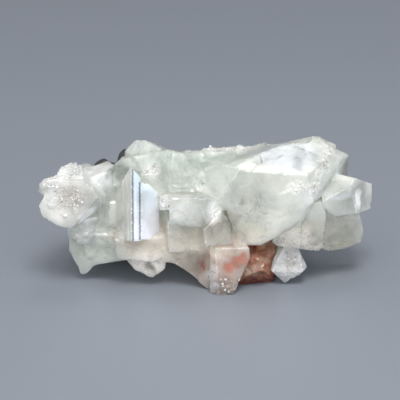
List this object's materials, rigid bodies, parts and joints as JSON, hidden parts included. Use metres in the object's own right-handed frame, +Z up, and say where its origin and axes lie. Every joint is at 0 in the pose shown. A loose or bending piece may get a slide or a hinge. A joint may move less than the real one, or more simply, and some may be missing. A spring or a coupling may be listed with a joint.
{
  "type": "apophyllite druse",
  "caption": "Hand specimen of pale green and beige apophyllite crystals grown together over salmon stilbite, with a dark basalt rind on its back, resting on its underside.",
  "frame": {"origin": "middle of the footprint, on the surface that the specimen rests on", "axes": "+X runs along the specimen to the end with the small pointed crystal, -Y is the show side, +Z is up"},
  "size_m": [0.0941, 0.0384, 0.0407],
  "materials": {
    "apophyllite": "clear to milky crystal faces, glossy, some striated or etched",
    "stilbite": "silky to dull broken surface",
    "basalt": "rough broken surface"
  },
  "bodies": {
    "root": {"apophyllite_crystals": "apophyllite", "stilbite": "stilbite", "basalt": "basalt"}
  },
  "joints": []
}
